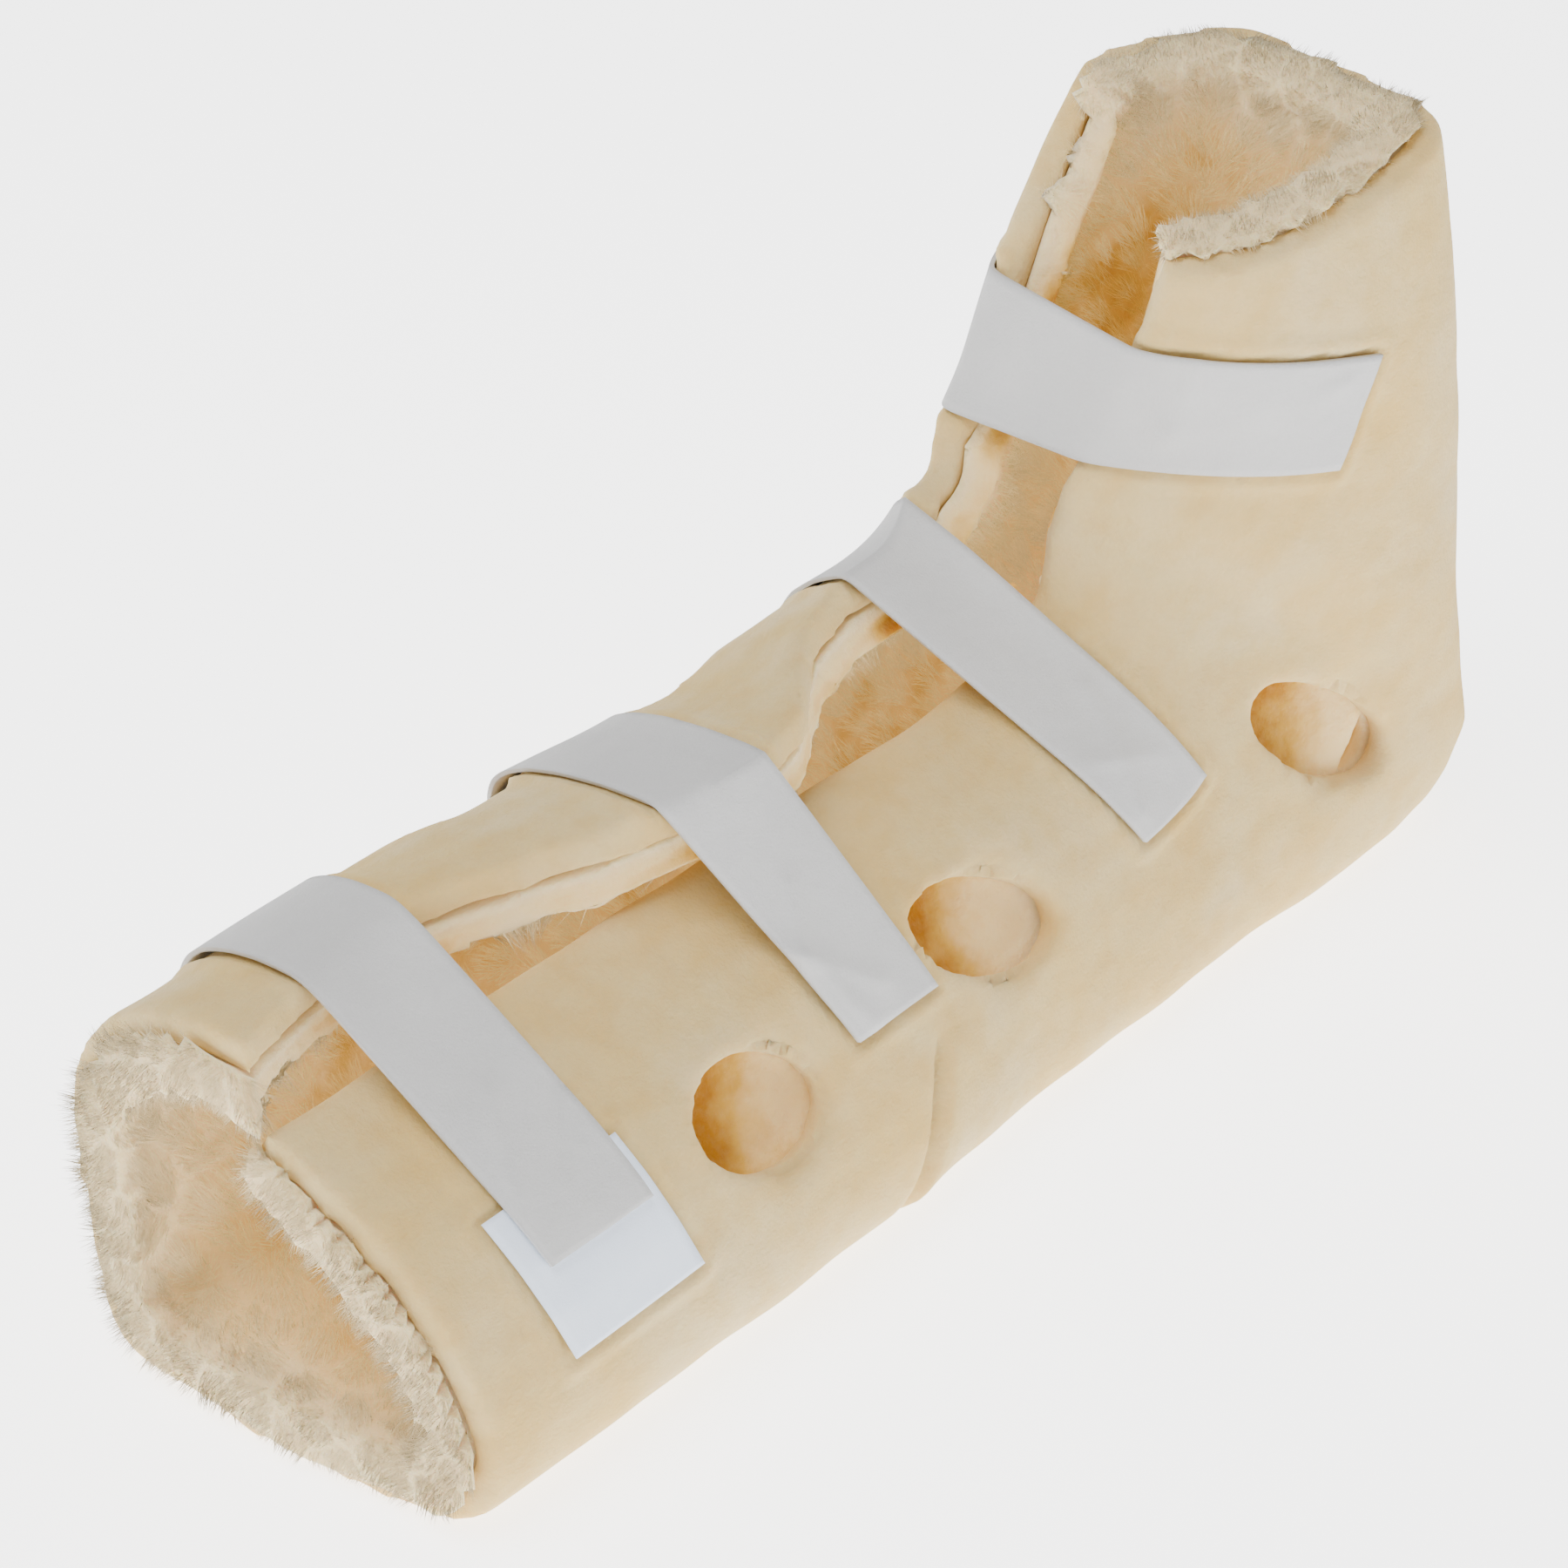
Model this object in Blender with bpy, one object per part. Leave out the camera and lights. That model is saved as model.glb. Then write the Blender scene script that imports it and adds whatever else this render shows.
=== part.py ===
"""Heel protection boot: a foam and fleece trough for the calf that turns up into a foot piece.

The boot lies as it is worn in bed, on the back of the calf and the heel, with the toes up.
+X runs from the open calf end to the heel, +Z is up and -Y is the side where the straps end.
The floor is z = 0 and the origin is the centre of the box that holds the boot, on the floor.
"""
import math

import bpy
import numpy as np

# Driving sizes, in metres and degrees
CALF_RUN = 0.268          # floor length from the open calf end to below the elbow's pivot
ELBOW_HEIGHT = 0.175      # the elbow's pivot, in front of the ankle, above the floor
HEEL_REACH = 0.188        # from the pivot to the sole's line where it meets the floor
FOOT_HEIGHT = 0.257       # the toe end of the sole above the floor
SOLE_LEAN = 10.0          # the sole leans this much towards the calf
HEEL_RADIUS = 0.042       # round of the heel between the floor and the sole, seen from the side
HALF_WIDTH = 0.070        # nominal half width that the sections follow
OPEN_END_TILT = 2.0       # the calf end's cut runs out at the floor by this angle
NEAR_END_SKEW = 12.0      # and its near side falls back by this angle, seen from above
FAR_END_SKEW = 4.0        # and its far side stands out by this angle
TOE_END_TILT = 16.0       # the toe end's cut drops to the front by this angle
TOE_END_ROLL = 5.0        # and to the near side by this angle
FOAM_WALL = 0.010
FLEECE_PILE = 0.014
LINING_GAP = 0.0003       # between the foam and the backing of the fleece
LINING_SETBACK = 0.0015   # the fleece stops this far inside the foam's cut edges
WALL = FOAM_WALL + LINING_GAP + FLEECE_PILE
SLIT_WIDTH = 0.0014       # a relief cut in the foam that runs down from the middle vent
SLIT_DEPTH = 0.004
STRAP_WIDTH = 0.041
STRAP_THICKNESS = 0.0015
STRAP_GAP = 0.0009        # straps lie this far off the foam
LABEL_WIDTH = 0.045
LABEL_LENGTH = 0.043
LABEL_THICKNESS = 0.0004
LABEL_START = 0.049       # from the near flap's edge down to the label's upper edge
LABEL_SHIFT = -0.002      # the label's middle from the middle of the strap above it

# A place counts along the boot: 0 is the open calf end, 1 to 2 is the elbow, 3 is the toe end.
# Edge_across, bulge and base are shares of HALF_WIDTH. Edge_rise is a share of the reach from
# the floor or the sole to the pivot, and shoulder and crown are shares of the edge's own rise.
NEAR_SIDE = np.array([
    # place, edge_across, edge_rise, bulge, shoulder, base
    (0.00, 0.00, 0.600, 0.98, 0.82, 0.84),
    (0.25, 0.00, 0.600, 1.00, 0.84, 0.88),
    (0.60, 0.00, 0.600, 0.98, 0.90, 0.88),
    (1.00, 0.00, 0.610, 0.95, 0.90, 0.86),
    (1.30, 0.00, 0.680, 0.97, 0.88, 0.89),
    (1.45, -0.03, 0.790, 1.00, 0.86, 0.92),
    (1.84, -0.15, 0.725, 0.98, 0.86, 0.90),
    (2.00, -0.20, 0.710, 0.98, 0.88, 0.90),
    (3.00, -0.42, 0.640, 0.90, 0.90, 0.80),
])
FAR_SIDE = np.array([
    # place, edge_across, edge_rise, bulge, shoulder, crown, base
    (0.00, 0.06, 0.738, 1.03, 0.74, 0.99, 0.94),
    (0.25, 0.30, 0.724, 1.04, 0.76, 0.98, 0.92),
    (0.48, -0.05, 0.758, 1.04, 0.77, 0.97, 0.92),
    (0.72, -0.04, 0.762, 1.02, 0.74, 0.95, 0.92),
    (0.83, 0.28, 0.800, 1.00, 0.70, 0.92, 0.92),
    (1.00, 0.40, 0.800, 1.00, 0.68, 0.90, 0.90),
    (1.16, 0.45, 0.815, 0.98, 0.66, 0.88, 0.84),
    (1.40, 0.54, 0.850, 0.92, 0.64, 0.88, 0.76),
    (1.62, 0.60, 0.808, 0.88, 0.64, 0.86, 0.68),
    (1.84, 0.60, 0.708, 0.85, 0.64, 0.86, 0.63),
    (2.00, 0.59, 0.650, 0.82, 0.64, 0.86, 0.58),
    (2.40, 0.60, 0.558, 0.76, 0.66, 0.86, 0.45),
    (3.00, 0.63, 0.310, 0.68, 0.70, 0.88, 0.24),
])
# Shares that place the corners between those of the tables
NEAR_LIP = 0.55           # across, from the near edge to the bulge
NEAR_WALL_RISE = 0.33     # of the near edge's rise
NEAR_FLAT = 0.38          # of the near base
FAR_FLAT = 0.45           # of the far base
FAR_WALL = (0.60, 0.35)   # from the far base to the bulge, and of the far edge's rise
FAR_LIP = 0.50            # across, from the far edge to the bulge
SKEWED_PLACES = 0.5       # the open end's skew fades out over these places
HEEL_PLACES = (1.41, 1.45, 1.48, 1.52)    # stations that follow the heel's round
STATION_PLACES = np.concatenate([
    np.linspace(0.0, 1.0, 12), np.linspace(1.11, 1.33, 3), HEEL_PLACES,
    np.linspace(1.64, 2.0, 4), np.linspace(2.25, 3.0, 4)])
POINTS_AROUND = 33
FINE_POINTS = 241         # points around a section where lengths and normals are measured
CURVE_POINTS = 60         # points on each of its round stretches
TURN_WEIGHT = 0.8         # how much closer the points around lie where the section turns
EASING_LENGTH = 0.018     # normals are eased over this length, so that no inner corner folds
FINER_ALONG = 10          # steps that each facet is split into where straps are laid on it
FINER_AROUND = 4

# Lengths, heights and reaches are shares of HALF_WIDTH, and depths shares of the girth, which
# is the way around the outer face from one flap's edge to the other's.
VENTS = [
    # name, place, depth from the flap's edge, length, height, slope down to the heel
    ("calf", 0.460, 0.158, 0.64, 0.45, 20.0),
    ("middle", 0.828, 0.150, 0.80, 0.40, 25.0),
    ("heel", 1.430, 0.228, 0.94, 0.40, 35.0),
]
VENT_SIDES = 28
VENT_CUT = 2.6            # how many walls deep a vent's cutter is
SLIT_PLACE = 0.800
SLIT_TILT = -24.0
SLIT_DEPTHS = (0.160, 0.275)
STRAPS = [
    # name, place, tilt, reach below the near edge, reach below the far edge, near end's width
    ("strap_calf_end", 0.188, 13.0, 0.96, 1.50, 0.84),
    ("strap_calf_middle", 0.608, 19.0, 0.97, 1.50, 0.76),
    ("strap_instep", 1.120, 27.0, 1.03, 1.36, 0.74),
    ("strap_foot", 2.020, 82.0, 1.06, 1.00, 0.88),
]
LABELLED_STRAP = "strap_calf_end"
STRAP_STEPS = 26
STRAP_STRIPS = 4
LABEL_STEPS = 8
SHARP_TURN = 5.0          # a strap keeps each corner that turns by more than this

COLOURS = {
    # red, green, blue, roughness
    "foam": (0.70, 0.60, 0.44, 0.85),
    "fleece": (0.74, 0.60, 0.44, 0.95),
    "strap": (0.72, 0.71, 0.70, 0.60),
    "label": (0.86, 0.87, 0.90, 0.50),
}


def blend(table, place):
    """A table's values at one place, eased smoothly from row to row."""
    places, values = table[:, 0], table[:, 1:]
    slopes = np.gradient(values, places, axis=0)
    i = int(np.clip(np.searchsorted(places, place, side="right") - 1, 0, len(places) - 2))
    span = places[i + 1] - places[i]
    t = (place - places[i]) / span
    return ((2 * t**3 - 3 * t**2 + 1) * values[i] + (t**3 - 2 * t**2 + t) * span * slopes[i]
            + (3 * t**2 - 2 * t**3) * values[i + 1] + (t**3 - t**2) * span * slopes[i + 1])


def sole_point(direction, pivot):
    """Where a ray from the elbow's pivot meets the floor, the heel's round or the sole."""
    lean = math.radians(SOLE_LEAN)
    corner = np.array([pivot[0] + HEEL_REACH, 0.0])
    out_of_sole = np.array([math.cos(lean), math.sin(lean)])
    lengths = []
    if direction[1] < -1e-9:
        lengths.append(-pivot[1] / direction[1])
    if direction @ out_of_sole > 1e-9:
        lengths.append((corner - pivot) @ out_of_sole / (direction @ out_of_sole))
    length = min(lengths)
    tangent = HEEL_RADIUS * math.tan((math.pi / 2 - lean) / 2)
    centre = np.array([corner[0] - tangent, HEEL_RADIUS])
    to_pivot = pivot - centre
    along = to_pivot @ direction
    inside = along * along - to_pivot @ to_pivot + HEEL_RADIUS**2
    if inside > 0:
        hit = pivot + direction * (math.sqrt(inside) - along)
        below = math.degrees(math.atan2(hit[1] - centre[1], hit[0] - centre[0]))
        if -90.0 <= below <= SOLE_LEAN:
            return hit
    return pivot + direction * length


def station(place):
    """Foot point on the floor or sole, inward direction, and reach, of one section's plane."""
    pivot = np.array([CALF_RUN, ELBOW_HEIGHT])
    if place <= 1.0:
        angle = math.radians(90.0 - OPEN_END_TILT * (1.0 - place))
        foot = np.array([place * CALF_RUN, 0.0])
        reach = ELBOW_HEIGHT
    else:
        angle = math.radians(90.0 + (min(place, 2.0) - 1.0) * (90.0 + SOLE_LEAN))
        foot = sole_point(-np.array([math.cos(angle), math.sin(angle)]), pivot)
        reach = np.linalg.norm(pivot - foot)
    if place > 2.0:
        lean = math.radians(SOLE_LEAN)
        rise = (FOOT_HEIGHT - foot[1]) * (place - 2.0)
        foot = foot + np.array([-math.tan(lean) * rise, rise])
        angle = math.radians(180.0 + SOLE_LEAN + (TOE_END_TILT - SOLE_LEAN) * (place - 2.0))
    return foot, np.array([math.cos(angle), math.sin(angle)]), reach


def section_corners(place, reach):
    """Control corners of one C-shaped section, from the near flap's edge to the far one's."""
    edge, rise, bulge, shoulder, base = blend(NEAR_SIDE, place)
    near = [(edge, rise), (edge - NEAR_LIP * (bulge + edge), shoulder * rise),
            (-bulge, NEAR_WALL_RISE * rise), (-base, 0.0), (-NEAR_FLAT * base, 0.0)]
    edge, rise, bulge, shoulder, crown, base = blend(FAR_SIDE, place)
    far = [(FAR_FLAT * base, 0.0), (base, 0.0),
           (base + FAR_WALL[0] * (bulge - base), FAR_WALL[1] * rise), (bulge, shoulder * rise),
           (edge + FAR_LIP * (bulge - edge), crown * rise), (edge, rise)]
    return np.array(near + far) * (HALF_WIDTH, reach)


def smooth_curve(corners, count):
    """Evenly spaced points on the round curve that a polygon of corners guides."""
    middles = (corners[:-1] + corners[1:]) / 2
    starts = np.vstack([corners[:1], middles[1:-1]])
    ends = np.vstack([middles[1:-1], corners[-1:]])
    t = np.linspace(0.0, 1.0, CURVE_POINTS)[:, None]
    pieces = []
    for start, corner, end in zip(starts, corners[1:-1], ends):
        pieces.append((1 - t)**2 * start + 2 * t * (1 - t) * corner + t**2 * end)
    curve = np.vstack(pieces)
    run = np.concatenate([[0.0], np.cumsum(np.linalg.norm(np.diff(curve, axis=0), axis=1))])
    even = np.linspace(0.0, run[-1], count)
    return np.column_stack([np.interp(even, run, curve[:, k]) for k in (0, 1)])


def inward_normals(curve, easing):
    """Normals that point into the C, eased along the curve over the given length."""
    tangent = np.gradient(curve, axis=0)
    spacing = np.linalg.norm(curve[1] - curve[0])
    normal = np.column_stack([-tangent[:, 1], tangent[:, 0]])
    normal /= np.linalg.norm(normal, axis=1)[:, None]
    for _ in range(int(round((easing / spacing)**2 / 4)) + 1):
        wide = np.vstack([normal[:1]] * 3 + [normal] + [normal[-1:]] * 3)
        normal = sum(wide[k:k + len(curve)] for k in range(7)) / 7
        normal /= np.linalg.norm(normal, axis=1)[:, None]
    return normal


def in_space(place, points):
    """Turns a section's own across and inward coordinates into world points."""
    foot, inward, _ = station(place)
    skew = np.where(points[:, 0] < 0.0, NEAR_END_SKEW, FAR_END_SKEW)
    skew = np.tan(np.radians(skew)) * max(0.0, 1.0 - place / SKEWED_PLACES)**2
    roll = math.tan(math.radians(TOE_END_ROLL)) * max(0.0, place - 2.0)
    x = foot[0] + inward[0] * points[:, 1] - skew * points[:, 0]
    z = foot[1] + inward[1] * points[:, 1] + roll * points[:, 0]
    return np.column_stack([x, points[:, 0], z])


def wall_section(place, depth):
    """Points of a section at a depth below the outer face, closer together where it turns."""
    curve = smooth_curve(section_corners(place, station(place)[2]), FINE_POINTS)
    normal = inward_normals(curve, 0.0)
    turn = np.abs(np.diff(np.unwrap(np.arctan2(normal[:, 1], normal[:, 0]))))
    weight = 1.0 / len(turn) + TURN_WEIGHT * turn / turn.sum()
    share = np.concatenate([[0.0], np.cumsum(weight)]) / weight.sum()
    pick = np.interp(np.linspace(0, 1, POINTS_AROUND), share, np.arange(FINE_POINTS))
    moved = curve + inward_normals(curve, EASING_LENGTH) * depth
    chosen = [np.interp(pick, np.arange(FINE_POINTS), moved[:, k]) for k in (0, 1)]
    return np.column_stack(chosen)


def new_object(name, vertices, faces, colour):
    """One named object with a mesh and its own plain material."""
    mesh = bpy.data.meshes.new(name)
    mesh.from_pydata([tuple(v) for v in vertices], [], faces)
    mesh.validate()
    body = bpy.data.objects.new(name, mesh)
    bpy.context.scene.collection.objects.link(body)
    red, green, blue, roughness = COLOURS[colour]
    material = bpy.data.materials.new(name)
    material.use_nodes = True
    shader = material.node_tree.nodes["Principled BSDF"]
    shader.inputs["Base Color"].default_value = (red, green, blue, 1.0)
    shader.inputs["Roughness"].default_value = roughness
    shader.inputs["Metallic"].default_value = 0.0
    mesh.materials.append(material)
    mesh.shade_smooth()
    mesh.set_sharp_from_angle(angle=math.radians(50))
    return body


def closed_sheet(name, outer, inner, colour):
    """A closed body between two grids of points, outer[row][column] and inner[row][column].

    Both grids are split along the same diagonals, so that layers that lie close don't cross.
    """
    rows, columns = outer.shape[:2]
    vertices = np.vstack([outer.reshape(-1, 3), inner.reshape(-1, 3)])
    below = rows * columns

    def at(row, column):
        return row * columns + column

    faces = []
    for r in range(rows - 1):
        for c in range(columns - 1):
            a, b, d, e = at(r, c), at(r, c + 1), at(r + 1, c + 1), at(r + 1, c)
            faces += [(a, b, d), (a, d, e)]
            faces += [(a + below, d + below, b + below), (a + below, e + below, d + below)]
    border = [at(0, c) for c in range(columns)]
    border += [at(r, columns - 1) for r in range(1, rows)]
    border += [at(rows - 1, c) for c in range(columns - 2, -1, -1)]
    border += [at(r, 0) for r in range(rows - 2, 0, -1)]
    for a, b in zip(border, border[1:] + border[:1]):
        faces.append((b, a, a + below, b + below))
    return new_object(name, vertices, faces, colour)


def make_wall(name, depth, thickness, setback, colour):
    """A layer of the boot between two depths below the outer face."""
    grids = []
    for level in (depth, depth + thickness):
        grid = np.array([in_space(p, wall_section(p, level)) for p in STATION_PLACES])
        for end, beside in ((0, 1), (-1, -2)):
            back = grid[beside] - grid[end]
            grid[end] += back * setback / np.linalg.norm(back, axis=1)[:, None]
        grids.append(grid)
    return closed_sheet(name, grids[0], grids[1], colour)


def finer(values, times):
    """The rows of an array with evenly mixed rows put between them."""
    wanted = np.linspace(0.0, len(values) - 1.0, (len(values) - 1) * times + 1)
    low = np.minimum(wanted.astype(int), len(values) - 2)
    share = (wanted - low).reshape((-1,) + (1,) * (values.ndim - 1))
    return values[low] * (1 - share) + values[low + 1] * share


def outer_surface():
    """Fine grid that lies on the shell's own facets, and the lining's two free edges."""
    grid = np.array([in_space(p, wall_section(p, 0.0)) for p in STATION_PLACES])
    edges = np.array([in_space(p, wall_section(p, WALL))[[0, -1]] for p in STATION_PLACES])
    around = finer(np.swapaxes(finer(grid, FINER_ALONG), 0, 1), FINER_AROUND)
    return (finer(STATION_PLACES, FINER_ALONG), np.swapaxes(around, 0, 1),
            finer(edges, FINER_ALONG))


def girth_at(surface, place):
    """The row of the surface nearest a place, and the lengths around it to each point."""
    places, grid, _ = surface
    row = int(np.argmin(abs(places - place)))
    steps = np.linalg.norm(np.diff(grid[row], axis=0), axis=1)
    return row, np.concatenate([[0.0], np.cumsum(steps)])


def plane_axes(tilt):
    """Normal of an upright plane across the boot, and the direction up in that plane."""
    angle = math.radians(tilt)
    normal = np.array([math.cos(angle), 0.0, math.sin(angle)])
    return normal, np.array([-math.sin(angle), 0.0, math.cos(angle)])


def cut_line(grid, row, origin, tilt, offset):
    """Where a plane through the origin, moved by an offset, cuts a grid, in the plane's axes."""
    normal, up = plane_axes(tilt)
    distance = (grid - origin) @ normal - offset
    line = []
    for column in range(grid.shape[1]):
        signs = distance[:, column]
        turns = np.nonzero((signs[:-1] <= 0.0) & (signs[1:] > 0.0))[0]
        if len(turns) == 0:
            continue
        i = turns[np.argmin(abs(turns - row))]
        share = -signs[i] / (signs[i + 1] - signs[i])
        point = grid[i, column] * (1 - share) + grid[i + 1, column] * share
        line.append((point[1], (point - origin) @ up))
    return np.array(line)


def walk(line, start, end):
    """The stretch of a line between two lengths along it."""
    run = np.concatenate([[0.0], np.cumsum(np.linalg.norm(np.diff(line, axis=0), axis=1))])
    inside = (run > start) & (run < end)
    ends = [[np.interp(s, run, line[:, k]) for k in (0, 1)] for s in (start, end)]
    return np.vstack([ends[:1], line[inside], ends[1:]])


def pulled_taut(points):
    """The points, from the first to the last, that a line pulled tight over them all touches."""
    at, last = 0, len(points) - 1
    chain = [points[0]]
    while at != last and len(chain) < len(points):
        best = last
        for other in range(len(points)):
            to_best, to_other = points[best] - points[at], points[other] - points[at]
            if to_best[0] * to_other[1] - to_best[1] * to_other[0] < 0.0:
                best = other
        at = best
        chain.append(points[at])
    return np.array(chain)


def even_points(line, count):
    """Evenly spaced points along a line, of which the nearest moves onto each sharp corner."""
    steps = np.diff(line, axis=0)
    run = np.concatenate([[0.0], np.cumsum(np.linalg.norm(steps, axis=1))])
    even = np.linspace(0.0, run[-1], count)
    heading = np.unwrap(np.arctan2(steps[:, 1], steps[:, 0]))
    for corner in np.nonzero(abs(np.diff(heading)) > math.radians(SHARP_TURN))[0] + 1:
        nearest = int(np.argmin(abs(even - run[corner])))
        if 0 < nearest < count - 1:
            even[nearest] = run[corner]
    return np.column_stack([np.interp(even, run, line[:, k]) for k in (0, 1)])


def lifted(line, heights):
    """Moves a line that runs from the far to the near side off the foam, square to itself."""
    tangent = np.gradient(line, axis=0)
    outward = np.column_stack([tangent[:, 1], -tangent[:, 0]])
    outward /= np.linalg.norm(outward, axis=1)[:, None]
    return line + outward * np.asarray(heights)[:, None]


def lay_band(name, lines, tilt, width, end_share, heights, thickness, colour):
    """A flat band over lines that are side by side, narrowed evenly towards its near end."""
    normal, up = plane_axes(tilt)
    shares = np.linspace(-0.5, 0.5, len(lines))
    sides = []
    for extra in (0.0, thickness):
        rows = []
        for (line, origin), share in zip(lines, shares):
            flat = lifted(line, heights + extra)
            rows.append(origin + normal * share * width + up * flat[:, 1:]
                        + np.array([0.0, 1.0, 0.0]) * (flat[:, :1] - origin[1]))
        sides.append(np.array(rows))
    steps = sides[0].shape[1]
    narrow = 1.0 + (end_share - 1.0) * np.linspace(0.0, 1.0, steps)
    for grid in sides:
        for step in range(steps):
            wanted = shares * narrow[step]
            grid[:, step] = np.column_stack(
                [np.interp(wanted, shares, grid[:, step, k]) for k in range(3)])
    return closed_sheet(name, sides[1], sides[0], colour)


def make_strap(surface, name, place, tilt, near_reach, far_reach, end_share):
    """A strap sewn to the far wall, pulled over the open front and stuck to the near wall."""
    _, grid, edges = surface
    row, _ = girth_at(surface, place)
    near_reach, far_reach = near_reach * HALF_WIDTH, far_reach * HALF_WIDTH
    origin = grid[row, 0]
    lines = []
    for offset in np.linspace(-0.5, 0.5, STRAP_STRIPS + 1) * STRAP_WIDTH:
        line = cut_line(grid, row, origin, tilt, offset)
        near = walk(line, 0.0, near_reach)
        far = walk(line[::-1], 0.0, far_reach)
        free_edges = cut_line(edges, row, origin, tilt, offset)[::-1]
        taut = pulled_taut(np.vstack([far[::-1], free_edges, near]))
        lines.append((even_points(taut, STRAP_STEPS + 1), origin))
    heights = np.full(STRAP_STEPS + 1, STRAP_GAP)
    if name == LABELLED_STRAP:
        over_label = 2 * STRAP_GAP + LABEL_THICKNESS
        total = near_reach + far_reach
        heights = np.linspace(STRAP_GAP, over_label, STRAP_STEPS + 1)
        heights[int(STRAP_STEPS * far_reach / total):] = over_label
    return lay_band(name, lines, tilt, STRAP_WIDTH, end_share, heights, STRAP_THICKNESS, "strap")


def near_band(surface, name, place, tilt, start, end, width, height, thickness, colour, shift=0.0):
    """A band that lies only on the near wall, between two lengths from the flap's edge."""
    _, grid, _ = surface
    row, _ = girth_at(surface, place)
    origin = grid[row, 0]
    moved = origin + plane_axes(tilt)[0] * shift
    lines = []
    for offset in np.linspace(-0.5, 0.5, STRAP_STRIPS + 1) * width + shift:
        line = cut_line(grid, row, origin, tilt, offset)
        lines.append((even_points(walk(line, start, end), LABEL_STEPS + 1), moved))
    heights = np.full(LABEL_STEPS + 1, height)
    return lay_band(name, lines, tilt, width, 1.0, heights, thickness, colour)


def vent_cutter(surface, side, name, place, share, length, height, slope):
    """An oval cutter square to the outer face, through foam and fleece."""
    _, grid, _ = surface
    row, run = girth_at(surface, place)
    wanted = run[-1] * (share if side == "near" else 1.0 - share)
    column = int(np.argmin(abs(run - wanted)))
    along = grid[row + FINER_ALONG, column] - grid[row - FINER_ALONG, column]
    around = grid[row, column + FINER_AROUND] - grid[row, column - FINER_AROUND]
    axis = np.cross(along, around)
    axis /= np.linalg.norm(axis)
    level = np.cross(axis, (0.0, 0.0, 1.0))
    level *= np.sign(level @ along) / np.linalg.norm(level)
    upward = np.cross(axis, level)
    upward *= np.sign(upward[2])
    angle = math.radians(slope)
    major = level * math.cos(angle) - upward * math.sin(angle)
    minor = level * math.sin(angle) + upward * math.cos(angle)
    turn = np.arange(VENT_SIDES) * 2 * math.pi / VENT_SIDES
    rim = np.outer(np.cos(turn), major) * length + np.outer(np.sin(turn), minor) * height
    rim = rim * HALF_WIDTH / 2 + grid[row, column]
    if np.cross(major, minor) @ axis < 0:
        rim = rim[::-1]
    half_depth = VENT_CUT * WALL / 2
    vertices = np.vstack([rim - axis * half_depth, rim + axis * half_depth])
    faces = [tuple(range(VENT_SIDES))[::-1], tuple(range(VENT_SIDES, 2 * VENT_SIDES))]
    for k in range(VENT_SIDES):
        after = (k + 1) % VENT_SIDES
        faces.append((k, after, after + VENT_SIDES, k + VENT_SIDES))
    return new_object("cutter_" + name + "_" + side, vertices, faces, "foam")


def cut(body, cutter):
    """Takes the cutter's shape out of a body."""
    cutter.hide_render = True
    cutter.display_type = "WIRE"
    step = body.modifiers.new(cutter.name, "BOOLEAN")
    step.operation = "DIFFERENCE"
    step.solver = "EXACT"
    step.object = cutter


def centre_on_floor():
    """Moves every object so that the origin is below the middle of the boot, on the floor."""
    built = [body for body in bpy.data.objects if not body.hide_render]
    corners = np.array([vertex.co for body in built for vertex in body.data.vertices])
    middle = (corners.min(axis=0) + corners.max(axis=0)) / 2
    middle[2] = corners[:, 2].min()
    for body in bpy.data.objects:
        body.location = [-value for value in middle]
    return middle


def main():
    for old in list(bpy.data.objects):
        bpy.data.objects.remove(old)
    surface = outer_surface()
    shell = make_wall("foam_shell", 0.0, FOAM_WALL, 0.0, "foam")
    lining = make_wall("fleece_lining", FOAM_WALL + LINING_GAP, FLEECE_PILE, LINING_SETBACK,
                       "fleece")
    for vent in VENTS:
        for side in ("near", "far"):
            cutter = vent_cutter(surface, side, *vent)
            cut(shell, cutter)
            cut(lining, cutter)
    girth = girth_at(surface, SLIT_PLACE)[1][-1]
    slit_start, slit_end = [share * girth for share in SLIT_DEPTHS]
    slit = near_band(surface, "cutter_slit", SLIT_PLACE, SLIT_TILT, slit_start, slit_end,
                     SLIT_WIDTH, -SLIT_DEPTH, 2 * SLIT_DEPTH, "foam")
    cut(shell, slit)
    for strap in STRAPS:
        make_strap(surface, *strap)
    name, place, tilt = STRAPS[0][:3]
    near_band(surface, "blank_label", place, tilt, LABEL_START, LABEL_START + LABEL_LENGTH,
              LABEL_WIDTH, STRAP_GAP, LABEL_THICKNESS, "label", LABEL_SHIFT)
    return centre_on_floor()


main()
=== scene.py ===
import math

import bmesh
import bpy
import numpy as np
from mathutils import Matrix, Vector, noise
from mathutils.bvhtree import BVHTree
from mathutils.kdtree import KDTree


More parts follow.
